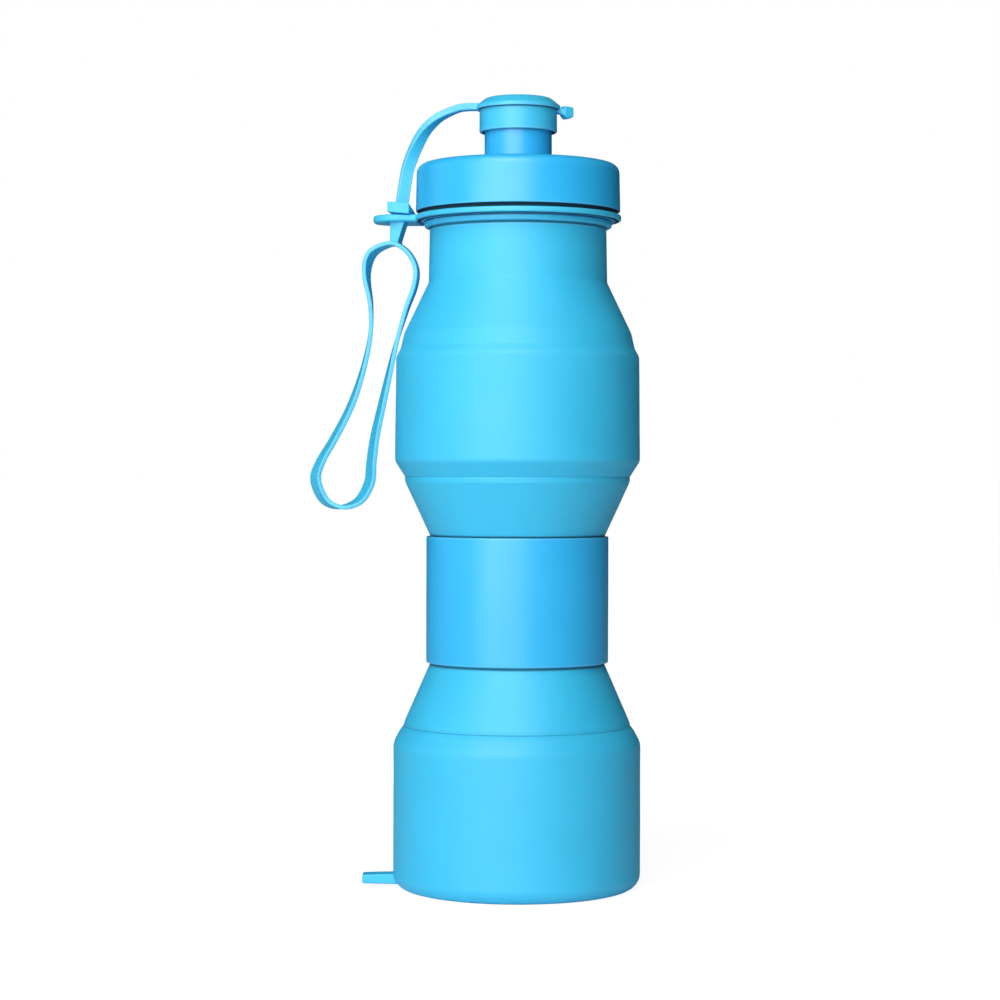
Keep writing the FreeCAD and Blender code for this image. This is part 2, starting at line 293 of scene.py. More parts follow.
def prism(name, outline, y_low, y_high, material, edge, turn=0.0, about=None):
    """A solid of that outline in XZ between two depths, with soft edges, turned about a vertical line."""
    count = len(outline)
    verts = [(x, y, z) for y in (y_low, y_high) for x, z in outline]
    faces = [tuple(range(count)), tuple(range(2 * count - 1, count - 1, -1))]
    faces += [(i, (i + 1) % count, count + (i + 1) % count, count + i) for i in range(count)]
    obj = new_object(name, verts, faces, material)
    face_outwards(obj)
    if turn:
        centre = Vector(about) * MM
        swing = Matrix.Translation(centre) @ Matrix.Rotation(turn, 4, "Z") @ Matrix.Translation(-centre)
        obj.data.transform(swing)
    soften(obj, edge)
    return obj


def plate(name, contours, z_low, z_high, edge, material):
    """A flat plate with rounded edges from its outer contour and its holes, each a list of (x, y) in mm."""
    curve = bpy.data.curves.new(name, "CURVE")
    curve.dimensions = "2D"
    curve.fill_mode = "BOTH"
    curve.bevel_depth = edge * MM
    curve.bevel_resolution = 4
    curve.offset = -edge * MM
    curve.extrude = ((z_high - z_low) / 2 - edge) * MM
    for contour in contours:
        spline = curve.splines.new("POLY")
        spline.points.add(len(contour) - 1)
        for point, (x, y) in zip(spline.points, contour):
            point.co = (x * MM, y * MM, 0, 1)
        spline.use_cyclic_u = True
    maker = bpy.data.objects.new(name + "_curve", curve)
    bpy.context.scene.collection.objects.link(maker)
    mesh = bpy.data.meshes.new_from_object(maker.evaluated_get(bpy.context.evaluated_depsgraph_get()))
    bpy.data.objects.remove(maker)
    bpy.data.curves.remove(curve)
    mesh.transform(Matrix.Translation(UP * (z_low + z_high) / 2 * MM))
    mesh.name = name
    bm = bmesh.new()
    bm.from_mesh(mesh)
    bmesh.ops.remove_doubles(bm, verts=bm.verts, dist=MERGE_WITHIN * MM)
    bmesh.ops.recalc_face_normals(bm, faces=bm.faces)
    bm.to_mesh(mesh)
    bm.free()
    mesh.polygons.foreach_set("use_smooth", [True] * len(mesh.polygons))
    mesh.materials.clear()
    mesh.materials.append(material)
    obj = bpy.data.objects.new(name, mesh)
    bpy.context.scene.collection.objects.link(obj)
    even_shading(obj)
    return obj


def smooth_line(points, closed, per_span):
    """Catmull-Rom samples through points of any number of values, so that all of them change smoothly."""
    count = len(points)
    spans = count if closed else count - 1
    line = []
    for i in range(spans):
        places = range(i - 1, i + 3)
        near = [points[k % count] if closed else points[min(max(k, 0), count - 1)] for k in places]
        for j in range(per_span):
            t = j / per_span
            weights = (
                (-t + 2 * t ** 2 - t ** 3) / 2,
                (2 - 5 * t ** 2 + 3 * t ** 3) / 2,
                (t + 4 * t ** 2 - 3 * t ** 3) / 2,
                (-t ** 2 + t ** 3) / 2,
            )
            line.append([sum(w * p[v] for w, p in zip(weights, near)) for v in range(len(points[0]))])
    if not closed:
        line.append(list(points[-1]))
    return line


BAND_EDGE = 0.35


def band_section(width, thick, edge):
    """The rounded rectangle of a flat band: (across, out, edge) points."""
    corners = [
        (-width / 2, -thick / 2, edge),
        (width / 2, -thick / 2, edge),
        (width / 2, thick / 2, edge),
        (-width / 2, thick / 2, edge),
    ]
    return [(place.x, place.y, wear_and_highlight) for place, wear_and_highlight in rounded(corners)]


def band(name, line, closed, material):
    """A flat band along a line of (x, y, z, yaw, width, thick) samples.

    The band's width lies along Y where yaw is 0, and turns clockwise from above as yaw grows, in degrees.
    """
    count = len(line)
    # Each point keeps its edge value, so the band's rounded edges turn paler, for rubbing and a painted
    # highlight.
    verts, wear_and_highlight, size = [], [], 0
    for i, (x, y, z, yaw, width, thick) in enumerate(line):
        before = line[i - 1] if closed or i else line[i]
        after = line[(i + 1) % count] if closed or i < count - 1 else line[i]
        along = (Vector(after[:3]) - Vector(before[:3])).normalized()
        turn = math.radians(yaw)
        across = Vector((math.sin(turn), math.cos(turn), 0))
        across = (across - along * across.dot(along)).normalized()
        out = along.cross(across)
        section = band_section(width, thick, BAND_EDGE)
        size = len(section)
        for a, b, value in section:
            verts.append(Vector((x, y, z)) + across * a + out * b)
            wear_and_highlight.append(value)
    faces = []
    for i in range(count if closed else count - 1):
        here, there = i * size, ((i + 1) % count) * size
        faces += [(here + k, here + (k + 1) % size, there + (k + 1) % size, there + k) for k in range(size)]
    if not closed:
        faces += [tuple(range(size)), tuple(range((count - 1) * size, count * size))]
    obj = new_object(name, verts, faces, material, wear_and_highlight)
    face_outwards(obj)
    return obj


# ---------------------------------------------------------------- materials

def node_in(tree, kind, **inputs):
    """A new shader node, with some of its inputs set by name."""
    node = tree.nodes.new(kind)
    for key, value in inputs.items():
        node.inputs[key.replace("_", " ")].default_value = value
    return node


def mapped(tree, value, span, low_value, high_value):
    """A value carried from a span of numbers to another span, and held at its ends."""
    node = tree.nodes.new("ShaderNodeMapRange")
    node.inputs["From Min"].default_value = span[0]
    node.inputs["From Max"].default_value = span[1]
    node.inputs["To Min"].default_value = low_value
    node.inputs["To Max"].default_value = high_value
    tree.links.new(value, node.inputs["Value"])
    return node.outputs[0]


def noise_in(tree, place, size_mm, detail, roughness):
    """A noise value whose shapes are about that size in mm."""
    scale = 1 / (size_mm * MM)
    node = node_in(tree, "ShaderNodeTexNoise", Scale=scale, Detail=detail, Roughness=roughness)
    tree.links.new(place, node.inputs["Vector"])
    return node.outputs[0]


def mixed(tree, kind, share, value, other):
    """A value or colour that goes towards a fixed other one by a share."""
    node = tree.nodes.new("ShaderNodeMix")
    node.data_type = kind
    node.inputs["B"].default_value = other
    tree.links.new(value, node.inputs["A"])
    tree.links.new(share, node.inputs["Factor"])
    return node.outputs["Result"]


def bumped(tree, height, strength, depth_mm, normal=None):
    """A surface normal raised by a height value, on top of another normal where one is given."""
    node = node_in(tree, "ShaderNodeBump", Strength=strength, Distance=depth_mm * MM)
    tree.links.new(height, node.inputs["Height"])
    if normal:
        tree.links.new(normal, node.inputs["Normal"])
    return node.outputs[0]


# What all moulded surfaces share, with sizes in mm.
CLOUD_MM = 14
FLECK_MM = 0.55
GRAIN_DEPTH = 0.06
WAVE_STRENGTH = 0.25
WAVE_DEPTH = 0.25
NOISE_SPAN = (0.3, 0.7)
ROUGH_VARIES = 0.05
# How much paler an edge gets for rubbing and a painted highlight, how fully painted shade covers a gap, and
# how much of the colour that shade keeps.
WEAR_AND_HIGHLIGHT_PALER = 0.45
SHADE_COVERS = 0.97
SHADE_BRIGHTNESS = 0.09
GLOW_RADIUS = (0.3, 0.7, 1.0)
GLOW_MM = 1.2


def mottled(tree, colour, clouds, flecks, mottle):
    """A colour whose brightness varies by that share over clouds, and by half as much over flecks."""
    both = tree.nodes.new("ShaderNodeMath")
    both.operation = "MULTIPLY"
    tree.links.new(mapped(tree, clouds, NOISE_SPAN, 1 - mottle, 1 + mottle), both.inputs[0])
    tree.links.new(mapped(tree, flecks, NOISE_SPAN, 1 - mottle / 2, 1 + mottle / 2), both.inputs[1])
    base = tree.nodes.new("ShaderNodeVectorMath")
    base.operation = "SCALE"
    base.inputs[0].default_value = colour
    tree.links.new(both.outputs[0], base.inputs["Scale"])
    return base.outputs[0]


def moulded(name, colour, rough, grain, grain_mm, mottle, wear_and_highlight, subsurface, specular):
    """A moulded surface: mottled colour and gloss, edges paler for rubbing and a painted highlight, gaps made
    dark and dull by painted shade, a fine relief.

    The relief has the strength grain and the size grain_mm, and wear is how much an edge turns paler for
    rubbing and a painted highlight.
    """
    material = bpy.data.materials.new(name)
    material.use_nodes = True
    tree = material.node_tree
    tree.nodes.clear()
    link = tree.links.new
    output = tree.nodes.new("ShaderNodeOutputMaterial")
    shader = node_in(tree, "ShaderNodeBsdfPrincipled")
    shader.inputs["Subsurface Weight"].default_value = subsurface
    shader.inputs["Subsurface Radius"].default_value = GLOW_RADIUS
    shader.inputs["Subsurface Scale"].default_value = GLOW_MM * MM
    shader.inputs["Specular IOR Level"].default_value = specular
    link(shader.outputs[0], output.inputs["Surface"])

    place = tree.nodes.new("ShaderNodeTexCoord").outputs["Object"]
    clouds = noise_in(tree, place, CLOUD_MM, 4.0, 0.55)
    flecks = noise_in(tree, place, FLECK_MM, 3.0, 0.6)
    fine = noise_in(tree, place, grain_mm, 2.0, 0.5)
    painted_edge_node = tree.nodes.new("ShaderNodeAttribute")
    painted_edge_node.attribute_name = "edge_wear_and_painted_light"
    edge = painted_edge_node.outputs["Fac"]
    # Positive edge values paint a paler edge, for rubbing and a highlight; negative ones paint shade into gaps
    # and creases, darker and duller.
    rubbed_and_highlit = mapped(tree, edge, (0.0, 1.0), 0.0, wear_and_highlight)
    painted_shade_share = mapped(tree, edge, (PAINTED_SHADE, 0.0), SHADE_COVERS, 0.0)

    pale = [c + (1 - c) * WEAR_AND_HIGHLIGHT_PALER for c in colour]
    dark = [c * SHADE_BRIGHTNESS for c in colour]
    tone = mottled(tree, colour, clouds, flecks, mottle)
    worn_and_highlit = mixed(tree, "RGBA", rubbed_and_highlit, tone, (*pale, 1))
    link(mixed(tree, "RGBA", painted_shade_share, worn_and_highlit, (*dark, 1)), shader.inputs["Base Color"])
    gloss = mapped(tree, clouds, NOISE_SPAN, rough - ROUGH_VARIES, rough + ROUGH_VARIES)
    link(mixed(tree, "FLOAT", painted_shade_share, gloss, 1.0), shader.inputs["Roughness"])

    relief = bumped(tree, fine, grain, GRAIN_DEPTH)
    link(bumped(tree, clouds, WAVE_STRENGTH, WAVE_DEPTH, relief), shader.inputs["Normal"])
    return material


SILICONE_BLUE = (0.034, 0.505, 0.800)
PLASTIC_BLUE = (0.026, 0.452, 0.850)
STRAP_BLUE = (0.045, 0.520, 0.800)
SILICONE = moulded("silicone_cyan", SILICONE_BLUE, 0.55, 0.30, 0.22, 0.022, 0.14, 0.10, 0.70)
STRAP = moulded("silicone_strap_cyan", STRAP_BLUE, 0.50, 0.10, 0.20, 0.015, 0.16, 0.05, 0.70)
PLASTIC = moulded("plastic_blue", PLASTIC_BLUE, 0.36, 0.20, 0.30, 0.012, 0.10, 0.02, 0.70)
INSERT = moulded("plastic_clear_blue", (0.35, 0.68, 0.86), 0.34, 0.15, 0.30, 0.012, 0.10, 0.20, 0.50)
GASKET = moulded("gasket_white", (0.78, 0.82, 0.84), 0.50, 0.30, 0.22, 0.020, 0.10, 0.15, 0.45)


# ---------------------------------------------------------------- the silicone body

def base_cup():
    """The cup with its grooved foot, its rounded bottom edge and the chamfer under the first fold line."""
    floor, groove, groove_inside, groove_outside = 3.2, 0.9, 12.0, 26.5
    shoulder = CUP_TOP - 5.1
    bore = CUP_R - WALL
    mouth = CUP_MOUTH_R - SOFT_WALL
    outline = [
        (0, 0),
        (groove_inside, 0, 0.5),
        (groove_inside + groove, groove, 0.5),
        (groove_outside - groove, groove, 0.5),
        (groove_outside, 0, 0.5),
        (CUP_R, 0, 4.3),
        (CUP_R, shoulder, 6.0),
        (CUP_R - 1.95, CUP_TOP - 1.5, 2.5),
        (CUP_MOUTH_R, CUP_TOP, *FOLD_EDGE),
        (mouth, CUP_TOP),
        (mouth, CUP_TOP - 1.2, 0.8),
        (bore, shoulder - 1.0, 1.2),
        (bore, floor, 4.0),
        (0, floor),
    ]
    cup = turned("base_cup_shell", rounded(outline), SILICONE, uneven=SOFT_UNEVEN)
    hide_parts("base_cup")
    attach(cup, "base")


def fold_peg():
    """The flat peg on the cup that the loop hooks over."""
    middle, root, half_width = -42.0, 2.6 - CUP_R, 3.0
    side = [(PEG_TIP, 1.25), (PEG_TIP, 3.95), (middle, 4.1), (root, 4.2), (root, 1.0), (middle, 1.15)]
    peg = prism("fold_peg", side, -half_width, half_width, STRAP, edge=0.5)
    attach(peg, "base")


def fold_wall(name, node, outer):
    """A soft cone between two zones, cut into level rows and kept in the frame's place."""
    wall = turned(name, rounded(walled(outer, SOFT_WALL)), SILICONE, uneven=SOFT_UNEVEN)
    refine(wall, outer[0][1], outer[-1][1])
    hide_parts(node)
    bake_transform(wall)


def refine(obj, z_low, z_high):
    """Cuts a wall into level rows."""
    row_height = 0.5
    bm = bmesh.new()
    bm.from_mesh(obj.data)
    rows = int((z_high - z_low) / row_height)
    for i in range(1, rows):
        z = (z_low + (z_high - z_low) * i / rows) * MM
        geometry = bm.verts[:] + bm.edges[:] + bm.faces[:]
        bmesh.ops.bisect_plane(bm, geom=geometry, plane_co=(0, 0, z), plane_no=UP, dist=CUT_WITHIN * MM)
    bm.to_mesh(obj.data)
    bm.free()
    obj.data.polygons.foreach_set("use_smooth", [True] * len(obj.data.polygons))
    obj.data.set_sharp_from_angle(angle=math.radians(CREASE_ANGLE))


def barrel():
    """The barrel: a fold groove, a chamfer, the straight wall, a step and the band under the shoulder."""
    outer = [
        (MIDDLE_TOP_R, BARREL_LOW),
        (MIDDLE_TOP_R + 0.2, BARREL_LOW + 0.5, 1.6, 0),
        (MIDDLE_TOP_R + 0.40, BARREL_LOW + 1.9, 0.35, 0),
        # Painted shade in the fold groove.
        (MIDDLE_TOP_R + 0.20, BARREL_LOW + 2.1, 0.15, -0.2),
        (MIDDLE_TOP_R + 0.45, BARREL_LOW + 2.35, 0.2, 0),
        (BARREL_R, BARREL_LOW + 6.9, 3.0),
        (BARREL_R - 0.35, BARREL_LOW + 38.5, 2.6),
        (BARREL_R - 1.7, BARREL_LOW + 41.0, 2.2, 0),
        (SHOULDER_R + 0.13, BARREL_HIGH - 0.8, 3.0, 0),
        (SHOULDER_LOW_R, BARREL_HIGH),
    ]
    wall = turned("barrel_shell", rounded(walled(outer, WALL)), SILICONE, uneven=SOFT_UNEVEN)
    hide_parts("barrel_wall")
    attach(wall, "barrel")


def neck():
    """The neck sleeve with its rounded flange."""
    bore = radius("neck_insert") - 2.4
    groove_r = NECK_R - 0.60
    flange_low = NECK_HIGH - FLAT
    outline = [
        (bore, NECK_LOW),
        (SHOULDER_HIGH_R, NECK_LOW),
        (NECK_R + 0.03, NECK_LOW + 0.85, 1.2, 0),
        # A painted highlight on the rim over the groove, painted shade in the groove and on the top face, and
        # a flange paler for rubbing and a painted highlight.
        (NECK_R - 0.28, NECK_HIGH - 2.35, 0.15, 1),
        (groove_r, NECK_HIGH - 2.20, 0.05, 0.7 * PAINTED_SHADE),
        (groove_r, flange_low, 0.05, 0.7 * PAINTED_SHADE),
        (FLANGE_R, flange_low, 0.6, 0.2),
        (FLANGE_R, NECK_HIGH, 0.3, 0.1),
        (FLANGE_R - 0.5, NECK_HIGH, 0.05, PAINTED_SHADE),
        (bore, NECK_HIGH, 0.05, PAINTED_SHADE),
    ]
    sleeve = turned("neck_shell", rounded(outline), SILICONE, uneven=NECK_UNEVEN)
    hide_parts("neck_sleeve")
    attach(sleeve, "neck")


def silicone_body():
    """The body's zones and the fold walls between them, from the base up."""
    under_collar = 26.55
    over_collar = 26.6
    base_cup()
    fold_peg()
    # Painted shade on the fold line and on the cones just under and over the collar, where the collar shades
    # them.
    lower = [
        (CUP_MOUTH_R, CUP_TOP, *FOLD_EDGE),
        (CUP_MOUTH_R - 0.35, CUP_TOP + 1.3, 0.8, 0),
        (under_collar, WAIST_LOW - 1.2, 0.1, 0.7 * PAINTED_SHADE),
        (WAIST_R, WAIST_LOW),
    ]
    fold_wall("lower_fold_shell", "lower_fold_wall", lower)
    middle = [
        (WAIST_R, WAIST_HIGH),
        (over_collar, WAIST_HIGH + 0.7, 0.1, 0.8 * PAINTED_SHADE),
        (MIDDLE_TOP_R, BARREL_LOW),
    ]
    fold_wall("middle_fold_shell", "middle_fold_wall", middle)
    barrel()
    shoulder = [(SHOULDER_LOW_R, BARREL_HIGH), (SHOULDER_HIGH_R, NECK_LOW)]
    fold_wall("shoulder_fold_shell", "shoulder_fold_wall", shoulder)
    neck()


# ---------------------------------------------------------------- rigid parts

def grip_collar():
    """The satin collar: a short tube whose thin rims reach a little past the CAD node's ends, with painted
    shade inside the rims.
    """
    rim_height, rim, foot, wall = 0.6, 0.7, 1.0, 1.7
    bottom, top = COLLAR_LOW - rim_height, COLLAR_HIGH + rim_height
    outline = [
        (COLLAR_R - foot, COLLAR_LOW, 0.1, PAINTED_SHADE),
        (COLLAR_R - rim, bottom, 0.05, PAINTED_SHADE),
        (COLLAR_R, bottom, 0.35),
        (COLLAR_R, top, 0.35),
        (COLLAR_R - rim, top, 0.05, PAINTED_SHADE),
        (COLLAR_R - foot, COLLAR_HIGH, 0.1, PAINTED_SHADE),
        (COLLAR_R - wall, COLLAR_HIGH),
        (COLLAR_R - wall, COLLAR_LOW),
    ]
    collar = turned("collar_shell", rounded(outline), PLASTIC, uneven=HARD_UNEVEN)
    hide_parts("grip_collar")
    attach(collar, "waist")


def screw_lid():
    """The lid's shell and spout, with painted shade on the step above the strap ring and a painted highlight
    on the lid's lower edge.
    """
    inside, lip, skirt = LID_R - 3.2, LID_R - 1.2, LID_R - 2.0
    lip_high = LID_LOW + 0.4
    roof = LID_HIGH - 2.3
    spout, bore = 10.2, 7.6
    outline = [
        (inside, LID_LOW),
        (lip, LID_LOW, 0.15, PAINTED_SHADE),
        (lip, lip_high, 0.1, PAINTED_SHADE),
        (skirt, lip_high, 0.05, PAINTED_SHADE),
        (skirt, LID_EDGE_LOW, 0.05, PAINTED_SHADE),
        (LID_R - 0.45, LID_EDGE_LOW, 0.02, PAINTED_SHADE),
        (LID_R, LID_EDGE_LOW, 0.25, 0.8),
        (LID_R - 0.3, LID_HIGH, 2.8),
        (spout, LID_HIGH, 0.4),
        (spout, SPOUT_HIGH, 0.8),
        (bore, SPOUT_HIGH, 0.8),
        (bore, roof, 0.4),
        (inside, roof, 0.6),
    ]
    lid = turned("lid_shell", rounded(outline), PLASTIC, uneven=HARD_UNEVEN)
    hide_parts("screw_lid")
    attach(lid, "lid")


def lid_thread():
    """The ridge inside the lid, a right-handed helix half a pitch above the neck's."""
    root, crest = LID_R - 3.15, LID_R - 4.5
    pitch, turns, start = 4.0, 1.1, LID_LOW + 5.6
    foot, tip, least, fades_in = 0.85, 0.42, 0.03, 0.1
    steps = 120
    verts, faces = [], []
    for i in range(steps + 1):
        share = i / steps
        a = 2 * math.pi * turns * share
        z = start + pitch * turns * share
        fade = min(1.0, share / fades_in, (1 - share) / fades_in)
        inner = root + (crest - root) * max(fade, 0.05)
        half = tip * fade + least
        for r, dz in ((root, -foot), (inner, -half), (inner, half), (root, foot)):
            verts.append((r * math.cos(a), r * math.sin(a), z + dz))
    for i in range(steps):
        a, b = 4 * i, 4 * (i + 1)
        faces += [(a + k, a + (k + 1) % 4, b + (k + 1) % 4, b + k) for k in range(4)]
    faces += [(0, 1, 2, 3), tuple(4 * steps + k for k in (3, 2, 1, 0))]
    ridge = new_object("lid_thread", verts, faces, PLASTIC)
    face_outwards(ridge)
    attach(ridge, "lid")


# ---------------------------------------------------------------- straps

def circle(r):
    """The (x, y) points of a circle about the axis."""
    steps = 240
    angles = [2 * math.pi * k / steps for k in range(steps)]
    return [(r * math.cos(a), r * math.sin(a)) for a in angles]


def box_contour(x_low, x_high, y_low, y_high, corner):
    """The (x, y) points of a rectangle with round corners."""
    corners = [(x_low, y_low), (x_high, y_low), (x_high, y_high), (x_low, y_high)]
    return [(place.x, place.y) for place, _ in rounded([(x, y, corner) for x, y in corners])]


TAB_Y = 2.75
TAB_HALF = 8.25
TAB_ROUND = 6.8
TAB_ROOT_R = 30.5


def tab_reach(angle):
    """How far the tab's outline stands from the axis in a direction, softly joined to the ring's."""
    blend, step = 1.6, 0.05
    x, y = math.cos(angle), math.sin(angle)
    reach = 0.0
    while inside_tab(x * reach, y * reach):
        reach += step
    share = min(1.0, (reach - RING_R) / blend)
    if share < -1:
        return RING_R
    soft = (share + 1) / 2
    return RING_R + (reach - RING_R) * soft + blend * soft * (1 - soft)


def inside_tab(x, y):
    """Whether a point lies in the tab's outline, which runs from the axis to its round tip."""
    dx, dy = x - TAB_TIP, abs(y - TAB_Y)
    if dx < 0 or dy > TAB_HALF:
        return False
    if dx < TAB_ROUND and dy > TAB_HALF - TAB_ROUND:
        return (TAB_ROUND - dx) ** 2 + (dy - TAB_HALF + TAB_ROUND) ** 2 <= TAB_ROUND ** 2
    return True


def tab_contour():
    """The edge of the tab outside the ring, closed by an arc of the root radius inside the ring."""
    least = RING_R + 0.03
    angles = [math.radians(90 + k / 2) for k in range(1, 360)]
    outer = [(a, tab_reach(a)) for a in angles]
    outer = [(a, r) for a, r in outer if r > least]
    inner = [(a, TAB_ROOT_R) for a, _ in reversed(outer[::4])]
    return [(r * math.cos(a), r * math.sin(a)) for a, r in outer + inner]


def shade_gap(obj, gap_r):
    """Paints shade on the points of a mesh deep in the gap around the neck, nearer to the axis than that
    radius.
    """
    values = []
    for vertex in obj.data.vertices:
        x, y, _ = vertex.co / MM
        values.append(0.9 * PAINTED_SHADE if math.hypot(x, y) < gap_r else 0.0)
    set_edge_wear_and_light(obj.data, values)


def strap_ring():
    """The flat ring, and its thicker tab with the slot for the straps."""
    ring_inner, gap_r, play = 29.95, 30.5, 0.02
    slot_left, slot_right, slot_half = -39.5, -35.3, 2.8
    ring = plate("strap_ring_plate", [circle(RING_R), circle(ring_inner)], RING_LOW, RING_HIGH, 0.5, STRAP)
    shade_gap(ring, gap_r)
    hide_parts("strap_ring")
    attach(ring, "ring")
    slot = box_contour(slot_left, slot_right, STRAP_Y - slot_half, STRAP_Y + slot_half, 0.8)
    tab = plate("strap_tab_plate", [tab_contour(), slot], TAB_LOW, RING_HIGH - play, 0.7, STRAP)
    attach(tab, "ring")


def turned_about(point, centre, yaw):
    """A point turned clockwise from above by yaw degrees about a vertical line through (x, y)."""
    a = math.radians(yaw)
    dx, dy = point[0] - centre[0], point[1] - centre[1]
    x = centre[0] + dx * math.cos(a) + dy * math.sin(a)
    y = centre[1] - dx * math.sin(a) + dy * math.cos(a)
    return (x, y, point[2])


def strap_anchor():
    """The wedge on the tab: a square front, a top that falls to the back, and a raised lower left corner."""
    middle, half_width, half_depth, yaw = -35.3, 3.37, 4.5, 12.0
    bottom, top = low("strap_anchor") + 0.02, high("strap_anchor")
    left, right = middle - half_width, middle + half_width
    front, back = STRAP_Y - half_depth, STRAP_Y + half_depth
    corners = [
        (left, front, bottom + 0.7),
        (right, front, bottom),
        (right, back, bottom),
        (left, back, bottom),
        (left, front, top),
        (right, front, top - 0.55),
        (right, back, top - 3.1),
        (left, back, top - 2.9),
    ]
    verts = [turned_about(corner, (middle, STRAP_Y), yaw) for corner in corners]
    faces = [(0, 1, 2, 3), (7, 6, 5, 4)] + [(i, (i + 1) % 4, 4 + (i + 1) % 4, 4 + i) for i in range(4)]
    block = new_object("strap_anchor_block", verts, faces, STRAP)
    face_outwards(block)
    soften(block, 0.3)
    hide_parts("strap_anchor")
    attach(block, "ring")


def strap_neck():
    """The stem under the tab's slot: it narrows to the loop and widens again just above it."""
    top, bottom = TAB_LOW + 0.9, high("carry_loop") - 0.9
    left, wide_right, narrow_right = -38.3, -33.3, -35.7
    depth, edge, middle, yaw = 4.0, 0.3, -36.4, 18.0
    # Painted shade on the stem's right side, where the tab shades it.
    side_shade = 0.4 * PAINTED_SHADE
    rows = 24
    verts, faces, shade = [], [], []
    for i in range(rows + 1):
        share = i / rows
        flare = max(0.0, share - 0.8) * 5
        from_x = left - 0.6 * flare ** 2
        to_x = wide_right + (narrow_right - wide_right) * min(1.0, share / 0.9) + 0.2 * flare ** 2
        z = top + (bottom - top) * share
        width = to_x - from_x
        for x, y, _ in band_section(width, depth, edge):
            verts.append(turned_about(((from_x + to_x) / 2 + x, STRAP_Y + y, z), (middle, STRAP_Y), yaw))
            shade.append(side_shade if x > width / 2 - 0.1 else 0.0)
    size = len(verts) // (rows + 1)
    for i in range(rows):
        here, there = i * size, (i + 1) * size
        faces += [(here + k, here + (k + 1) % size, there + (k + 1) % size, there + k) for k in range(size)]
    faces += [tuple(range(size)), tuple(range(rows * size, (rows + 1) * size))]
    stem = new_object("strap_stem", verts, faces, STRAP, shade)
    face_outwards(stem)
    stem.data.set_sharp_from_angle(angle=math.radians(CREASE_ANGLE))
    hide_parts("strap_neck")
    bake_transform(stem)


# The loop's (x, z, yaw) from its top, down its right side and up its left side, and its width and thickness.
LOOP_SIZE = (6.0, 1.3)
LOOP_POINTS = [
    (-38.3, 195.1, 16),
    (-33.7, 193.0, 8),
    (-30.9, 188.0, 6),
    (-31.2, 182.5, 6),
    (-33.8, 175.2, 3),
    (-36.7, 165.5, -4),
    (-39.0, 155.8, -12),
    (-41.2, 146.1, -17),
    (-43.2, 137.0, -21),
    (-44.3, 129.0, -24),
    (-44.9, 122.8, -27),
    (-48.0, 117.4, -28),
    (-53.3, 115.4, -28),
    (-58.4, 117.4, -28),
    (-61.2, 123.5, -28),
    (-59.7, 129.1, -24),
    (-55.5, 136.4, -20),
    (-50.6, 146.1, -17),
    (-46.9, 157.0, -10),
    (-44.7, 167.5, -4),
    (-44.6, 176.5, 1),
    (-45.9, 186.0, 13),
    (-44.2, 192.2, 22),
]


def carry_loop():
    """The closed flat band, which twists a little from its top to its bottom."""
    points = [(x, STRAP_Y, z, yaw, *LOOP_SIZE) for x, z, yaw in LOOP_POINTS]
    loop = band("carry_loop_band", smooth_line(points, True, 14), True, STRAP)
    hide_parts("carry_loop")
    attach(loop, "loop")


# The tether's (x, y, z, yaw) from the cap to the block, and its width and thickness.
TETHER_SIZE = (3.8, 2.1)
TETHER_POINTS = [
    (-11.8, 0.0, 236.8, 0),
    (-15.5, -0.2, 236.7, 2),
    (-18.9, -0.5, 236.0, 10),
    (-24.1, -1.0, 233.4, 26),
    (-28.2, -1.4, 229.4, 44),
    (-30.9, -1.6, 224.5, 62),
    (-32.8, -1.8, 219.7, 74),
    (-33.8, -1.8, 216.0, 80),
    (-35.0, -1.8, 208.2, 82),
    (-35.4, -1.8, 205.4, 82),
]


def cap_tether():
    """The band from the cap's rim to the block: it lies flat at the cap and faces forward at the block."""
    points = [(*point, *TETHER_SIZE) for point in TETHER_POINTS]
    tether = band("cap_tether_band", smooth_line(points, False, 10), False, STRAP)
    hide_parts("cap_tether")
    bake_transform(tether)


def spout_cap():
    """The cap with its domed top, its lipped disc, its skirt and the plug in the spout."""
    skirt, plug = 11.75, 7.1
    cavity = skirt - 1.1
    bottom, disc = low("spout_cap"), CAP_HIGH - 3.6
    plug_low, roof = CAP_HIGH - 5.9, CAP_HIGH - 3.25
    # Painted shade in the skirt's hollow and under the disc; the skirt's foot and the disc's rim are paler for
    # rubbing and a painted highlight.
    outline = [
        (0, plug_low),
        (plug, plug_low, 1.0),
        (plug, roof),
        (cavity, roof, 0.05, PAINTED_SHADE),
        (cavity, bottom, 0.1, PAINTED_SHADE),
        (skirt - 0.55, bottom, 0.05, 0.8 * PAINTED_SHADE),
        (skirt, bottom, 0.4, RUBBED_AND_HIGHLIT),
        (skirt, disc - 0.4, 0.05, 0),
        (skirt, disc, 0.05, 0.9 * PAINTED_SHADE),
        (CAP_R - 0.4, disc, 0.05, 0.9 * PAINTED_SHADE),
        (CAP_R, disc, 0.25, RUBBED_AND_HIGHLIT),
        (CAP_R, CAP_HIGH - 2.5, 0.7, 0),
        (CAP_R - 3.0, CAP_HIGH - 0.1, 2.6, 0.1),
        (0, CAP_HIGH),
    ]
    cap = turned("cap_shell", rounded(outline), STRAP, uneven=CAP_UNEVEN)
    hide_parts("spout_cap")
    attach(cap, "cap")


